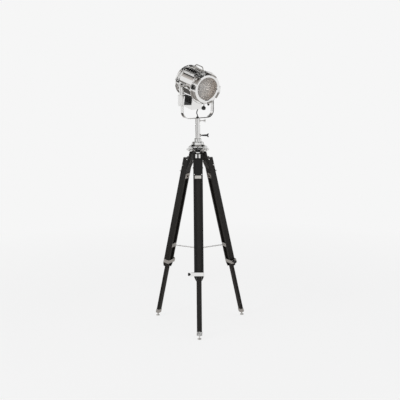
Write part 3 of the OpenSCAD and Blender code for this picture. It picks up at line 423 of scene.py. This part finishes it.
def makeBlock(back, front, wide, low, high, turn):
    bpy.ops.object.select_all(action="DESELECT")
    bpy.ops.mesh.primitive_cube_add(size=1)
    block = startPiece("block")
    block.scale = (front - back, wide[1] - wide[0], high - low)
    block.location = ((front + back) / 2, (wide[0] + wide[1]) / 2 * turn, (high + low) / 2)
    bpy.ops.object.transform_apply(location=True, rotation=True, scale=True)
    return block


def makeHeadSides(name):
    sides = []
    wide = headSide["from"], headSide["to"]
    for turn in (-1, 1):
        sides.append(makeBlock(headSide["inner"], headSide["outer"], wide, headSide["rail"],
                               headSide["top"], turn))
        low = headSide["bottom"]
        block = makeBlock(headSide["inner"], headSide["railX"], wide, low, headSide["rail"], turn)
        movePoints(block, lambda p: p.z < low + near and p.x < 0,
                   (0, 0, headSide["slope"] - low))
        sides.append(block)
    piece = joinPieces("headSides_" + name, sides)
    finishPiece(piece, "leg_" + name, legWood[name], headSide["edge"],
                place=legMatrices[name])


for name in legMatrices:
    makeHeadSides(name)
print("leg heads done")

# thin strips in the slot between the rails, beside the lower leg

slideStrip = {"inner": 0.01556, "outer": 0.01597, "front": 0.027, "back": 0.013, "top": -0.14,
              "bottom": -0.76, "taper": 0.004, "edge": 0.00008}


def makeSlideStrips(name):
    strips = []
    for turn in (-1, 1):
        strip = makeBlock(slideStrip["back"], slideStrip["front"],
                          (slideStrip["inner"], slideStrip["outer"]),
                          slideStrip["bottom"], slideStrip["top"], turn)
        movePoints(strip, lambda p: p.x < slideStrip["back"] + near
                   and p.z > slideStrip["top"] - near, (0, 0, -slideStrip["taper"]))
        strips.append(strip)
    piece = joinPieces("slideStrips_" + name, strips)
    finishPiece(piece, "leg_" + name, legWood[name], slideStrip["edge"],
                place=legMatrices[name])


for name in legMatrices:
    makeSlideStrips(name)
print("slide strips done")

# spreader chains: oval links, each turned a quarter turn to the next, and the joining ring

chain = {"wire": 0.0024, "width": 0.0084, "goal": 0.011, "ringR": 0.0155, "ringWire": 0.003,
         "down": 0.647, "in": -0.0052, "eye": 0.0009, "gap": 0.0001, "folded": 0.12,
         "linkSides": 24, "ringSides": 48, "wireSides": 14}
chain["start"] = (hinge["radius"] + chain["in"] * math.cos(hinge["lean"])
                  + chain["down"] * math.sin(hinge["lean"]) - chain["eye"])
chain["height"] = (hinge["height"] - chain["down"] * math.cos(hinge["lean"])
                   + chain["in"] * math.sin(hinge["lean"]))
chain["end"] = chain["ringR"] - (chain["ringWire"] + chain["wire"] + chain["gap"]) / 2
chain["links"] = 2 * round((chain["start"] - chain["end"]) / chain["goal"] / 2)
chain["pitch"] = (chain["start"] - chain["end"] - chain["wire"] - chain["gap"]) / chain["links"]
chain["long"] = chain["pitch"] + 2 * chain["wire"] + chain["gap"]


def makeRing(radius, wire, sides):
    bpy.ops.object.select_all(action="DESELECT")
    bpy.ops.mesh.primitive_torus_add(major_radius=radius, minor_radius=wire / 2,
                                     major_segments=sides, minor_segments=chain["wireSides"],
                                     rotation=(0, 0, math.pi / chain["linkSides"]))
    ring = startPiece("ring")
    bpy.ops.object.transform_apply(location=True, rotation=True, scale=True)
    return ring


def makeChain(name, turn):
    links = []
    stretch = (chain["long"] - chain["width"]) / 2
    first = chain["start"] - (chain["long"] - chain["wire"]) / 2
    for k in range(chain["links"]):
        link = makeRing((chain["width"] - chain["wire"]) / 2, chain["wire"], chain["linkSides"])
        movePoints(link, lambda p: p.x > 0, (stretch, 0, 0))
        movePoints(link, lambda p: p.x < 0, (-stretch, 0, 0))
        link.rotation_euler.x = math.pi / 2 * (k % 2)
        link.location.x = first - k * chain["pitch"]
        bpy.ops.object.transform_apply(location=True, rotation=True, scale=True)
        links.append(link)
    if name == "front":
        links.append(makeRing(chain["ringR"], chain["ringWire"], chain["ringSides"]))
    piece = joinPieces("links_" + name, links)
    place = Matrix.Translation((0, axisY, chain["height"])) @ turnMatrix(z=math.radians(turn))
    finishPiece(piece, "leg_" + name, plate, place=place)
    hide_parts("chain_" + name)
    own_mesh(piece)


for name, turn in legTurns.items():
    makeChain(name, turn)
print("chains done")

# bulb: blown glass, screw cap and filament

bulb = {"base": -0.0657, "tipR": 0.003, "tipFlatR": 0.006, "tipFlat": 0.0005, "skirtR": 0.0105,
        "skirt": 0.004, "threadFrom": 0.006, "capTop": -0.0405, "capR": 0.0130, "holeR": 0.004,
        "lip": 0.0003, "thread": 0.0009, "turns": 6, "wall": 0.0007, "smooth": 60,
        "glassR": 0.0296, "glassZ": -0.0087, "neckR": 0.0118, "neckZ": -0.0412, "neckTall": 0.005,
        "neckFlare": 0.0004, "neckLeast": 0.001, "sphereLow": 0.010, "rings": 16}
filament = {"radius": 0.0014, "turns": 16, "arc": 0.011, "wire": 0.00022, "from": 0.1, "span": 0.8,
            "drop": 0.004, "postIn": 0.003, "postOut": 0.004, "postZ": -0.028, "sunk": 0.001,
            "steps": 10}


def turnedPiece(name, profile, sides=48):
    bpy.ops.object.select_all(action="DESELECT")
    bpy.ops.mesh.primitive_circle_add(vertices=sides, radius=profile[0][0],
                                      location=(0, 0, profile[0][1]))
    piece = startPiece(name)
    bpy.ops.object.transform_apply(location=True, rotation=True, scale=True)
    bpy.ops.object.mode_set(mode="EDIT")
    bpy.ops.mesh.select_all(action="SELECT")
    for (oldR, oldZ), (newR, newZ) in zip(profile, profile[1:]):
        bpy.ops.mesh.extrude_edges_move(TRANSFORM_OT_translate={"value": (0, 0, newZ - oldZ)})
        if newR:
            bpy.ops.transform.resize(value=(newR / oldR, newR / oldR, 1),
                                     center_override=(0, 0, newZ))
        else:
            bpy.ops.mesh.merge(type="CENTER")
    bpy.ops.object.mode_set(mode="OBJECT")
    return piece


def makeCap():
    base, top = bulb["base"], bulb["capTop"]
    step = (top - base - bulb["threadFrom"]) / (2 * bulb["turns"])
    profile = [(bulb["tipR"], base), (bulb["tipFlatR"], base + bulb["tipFlat"]),
               (bulb["skirtR"], base + bulb["skirt"])]
    for k in range(2 * bulb["turns"]):
        profile.append((bulb["capR"] - bulb["thread"] * (k % 2),
                        base + bulb["threadFrom"] + step * k))
    profile += [(bulb["capR"] - bulb["lip"], top), (bulb["holeR"], top), (0, top)]
    cap = turnedPiece("bulbCap", profile)
    closeEnds(cap)
    finishPiece(cap, "carriage", brass, place=headMatrix)
    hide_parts("bulb")


def makeGlass():
    radius, count = bulb["glassR"], bulb["rings"]
    low = -math.asin((bulb["glassZ"] - bulb["neckZ"] - bulb["sphereLow"]) / radius)
    profile = [(bulb["neckR"], bulb["neckZ"]),
               (bulb["neckR"] + bulb["neckFlare"], bulb["neckZ"] + bulb["neckTall"])]
    for k in range(count):
        angle = low + (math.pi / 2 - low) * k / count
        profile.append((max(radius * math.cos(angle), bulb["neckR"] + bulb["neckLeast"]),
                        bulb["glassZ"] + radius * math.sin(angle)))
    profile.append((0, bulb["glassZ"] + radius))
    glass = turnedPiece("bulbGlass", profile)
    bpy.context.view_layer.objects.active = glass
    wall = glass.modifiers.new("wall", "SOLIDIFY")
    wall.thickness = bulb["wall"]
    wall.offset = -1
    bpy.ops.object.modifier_apply(modifier="wall")
    finishPiece(glass, "carriage", bulbGlass, angle=bulb["smooth"],
                place=headMatrix)
    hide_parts("bulb")


def makeCurve(name, radius, routes, material, body):
    curve = bpy.data.curves.new(name, "CURVE")
    curve.dimensions = "3D"
    curve.bevel_depth = radius
    curve.bevel_resolution = 4
    curve.use_fill_caps = True
    for points in routes:
        spline = curve.splines.new("POLY")
        spline.points.add(len(points) - 1)
        for point, place in zip(spline.points, points):
            point.co = (*place, 1)
    piece = bpy.data.objects.new(name, curve)
    bpy.context.scene.collection.objects.link(piece)
    curve.materials.append(material)
    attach(piece, body)
    return piece


def makeFilament():
    count = filament["turns"] * filament["steps"]
    coil = []
    for k in range(count + 1):
        along = math.pi * (filament["from"] + filament["span"] * k / count)
        around = 2 * math.pi * filament["turns"] * k / count
        reach = filament["arc"] + filament["radius"] * math.cos(around)
        coil.append((filament["radius"] * math.sin(around), -reach * math.cos(along),
                     bulb["glassZ"] - filament["drop"] + reach * math.sin(along)))
    routes = [coil]
    for turn, end in ((-1, coil[0]), (1, coil[-1])):
        routes.append([(0, filament["postIn"] * turn, bulb["capTop"] - filament["sunk"]),
                       (0, filament["postOut"] * turn, filament["postZ"]), end])
    routes = [[headMatrix @ Vector(place) for place in points] for points in routes]
    makeCurve("filament", filament["wire"], routes, tungsten, "carriage")


makeCap()
makeGlass()
makeFilament()
print("bulb done")

# lead

lead = {"diameter": 0.006, "skin": 0.0001, "steps": 12, "bow": 0.006,
        "tray": (0.004, 0.020, -0.153), "trayUp": 0.002, "bore": 0.014, "sunk": 0.03}


def leadRoute():
    start = Vector((0, axisY, forkHeight + lead["bore"]))
    end = headMatrix @ Vector(lead["tray"]) + Vector((0, 0, lead["trayUp"]))
    across = Vector((end.x - start.x, end.y - start.y, 0))
    reach, rise = across.length, end.z - start.z
    turn = 2 * math.atan(reach / rise)
    bend = rise / 2 / math.sin(turn)
    arc = []
    for k in range(lead["steps"] + 1):
        angle = turn * k / lead["steps"]
        arc.append((bend * (1 - math.cos(angle)), bend * math.sin(angle)))
    arc += [(reach - out, rise - high) for out, high in reversed(arc[:-1])]  # the arc turned over
    points = [start - Vector((0, 0, lead["sunk"])), start - Vector((0, 0, lead["bore"]))]
    for out, high in arc:
        bow = lead["bow"] * math.sin(math.pi * high / rise) ** 2
        points.append(start + across.normalized() * out + Vector((-bow, 0, high)))
    return points


def makeLead():
    route = leadRoute()
    piece = makeCurve("lead", lead["diameter"] / 2 - lead["skin"], [route], rubberBlack, "fork")
    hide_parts("lamp_lead")


makeLead()
print("lead done")

# floor, backdrop and light

paper = {"colour": (0.9215, 0.9215, 0.9215), "dull": (0.9, 0.9, 0.9), "shade": 0.12, "near": 1.2,
         "far": 3.2, "size": 60, "height": -0.0005, "world": (0.4, 0.4, 0.405)}


def makePaper():
    s = Shader("studioPaper")
    place = s.coords()
    tone = s.mixColour(s.noise(place, 3, 2), paper["dull"], paper["colour"])
    soft = s.add("ShaderNodeBsdfDiffuse", {"Color": tone})
    flat = s.add("ShaderNodeEmission", {"Color": (*paper["colour"], 1), "Strength": 1.0})
    reach = s.add("ShaderNodeVectorMath", {0: place}, operation="LENGTH").outputs["Value"]
    plain = s.spread(reach, 1 - paper["shade"], 1, paper["near"], paper["far"])
    return s.finish(s.add("ShaderNodeMixShader", {
        "Fac": s.math("MULTIPLY", s.flatRays(), plain), 1: soft.outputs[0], 2: flat.outputs[0]}))


def makeWorld():
    s = Shader("studio", "World")
    tone = s.mixColour(s.flatRays(), paper["world"], paper["colour"])
    return s.finish(s.add("ShaderNodeBackground", {"Color": tone}))


bpy.ops.object.select_all(action="DESELECT")
bpy.ops.mesh.primitive_plane_add(size=paper["size"], location=(0, 0, paper["height"]))
floor = bpy.context.object
floor.name = "floor"
floor.data.materials.append(makePaper())

# grey and black cards that only the metal mirrors: place, size, turns in degrees, tone
cards = {
    "lowBehindCamera": ((0.05, -7.5, 0.4), (2.6, 1.1), (90, 0, 0), 0.012),
    "backLeft": ((-2.5, 4.4, 1.2), (1.9, 3.0), (90, 0, 30), 0.012),
    "backRight": ((2.7, 4.4, 1.2), (1.9, 3.0), (90, 0, -30), 0.012),
    "sideLeft": ((-4.6, -1.6, 1.0), (0.8, 4.2), (90, 0, -75), 0.03),
    "sideRight": ((4.6, -1.8, 1.6), (0.7, 4.2), (90, 0, 75), 0.03),
    "wallLeft": ((-6.6, 1.1, 1.55), (6.5, 2.4), (90, 0, -57.3), 0.2),
    "floorNear": ((0.0, 0.0, 0.004), (4.6, 4.6), (0, 0, 0), 0.36),
    "floorInFront": ((0.05, -5.4, 0.006), (2.2, 4.6), (0, 0, 0), 0.012),
    "floorBackLeft": ((-3.3, 3.3, 0.005), (3.4, 4.0), (0, 0, 0), 0.1),
}
ceiling = {"height": 4.3, "back": 0.3, "turn": -57.3, "length": 15,
           "strips": ((-2.5, 0.9, 0.6), (-1.75, 0.6, 0.36), (-1.12, 0.66, 0.03),
                      (0.02, 1.3, 0.008), (2.3, 2.7, 0.012), (4.5, 1.7, 0.3))}


def makeCard(name, place, size, turns, tone):
    s = Shader(name)
    grain = s.noise(s.coords(), 4, 2)
    warm = (tone, tone * 0.94, tone * 0.89)
    glow = s.add("ShaderNodeEmission", {
        "Color": s.mixColour(grain, [t * 0.9 for t in warm], warm)})
    bpy.ops.object.select_all(action="DESELECT")
    bpy.ops.mesh.primitive_plane_add(size=1)
    card = bpy.context.object
    card.name = name
    card.scale = (size[0], size[1], 1)
    card.rotation_euler = [math.radians(t) for t in turns]
    card.location = place
    card.visible_camera = card.visible_diffuse = card.visible_shadow = False
    card.visible_transmission = False
    card.data.materials.append(s.finish(glow))


for name, (place, size, turns, tone) in cards.items():
    makeCard(name, place, size, turns, tone)
across = turnMatrix(z=math.radians(ceiling["turn"])) @ Vector((0, 1, 0))
middle = Vector((0, ceiling["back"], ceiling["height"]))
for number, (offset, width, tone) in enumerate(ceiling["strips"]):
    makeCard("ceiling%d" % number, middle + across * offset, (ceiling["length"], width),
             (0, 0, ceiling["turn"]), tone)

bpy.context.scene.world = makeWorld()

# area lights that the metal doesn't mirror: place, size, power
lights = {"keyLight": ((-2.6, -2.2, 2.8), (1.6, 2.2), 44),
          "fillLight": ((3.0, -1.6, 1.8), (1.2, 2.4), 21),
          "topLight": ((0.2, -0.2, 4.0), (1.5, 1.5), 30)}
lightAim = Vector((0, 0, 1.0))


def softLight(name, place, size, power):
    data = bpy.data.lights.new(name, "AREA")
    data.shape = "RECTANGLE"
    data.size, data.size_y = size
    data.energy = power
    lamp = bpy.data.objects.new(name, data)
    bpy.context.scene.collection.objects.link(lamp)
    lamp.location = place
    lamp.rotation_euler = (lightAim - Vector(place)).to_track_quat("-Z", "Y").to_euler()
    lamp.visible_glossy = False


for name, (place, size, power) in lights.items():
    softLight(name, place, size, power)
print("light done")
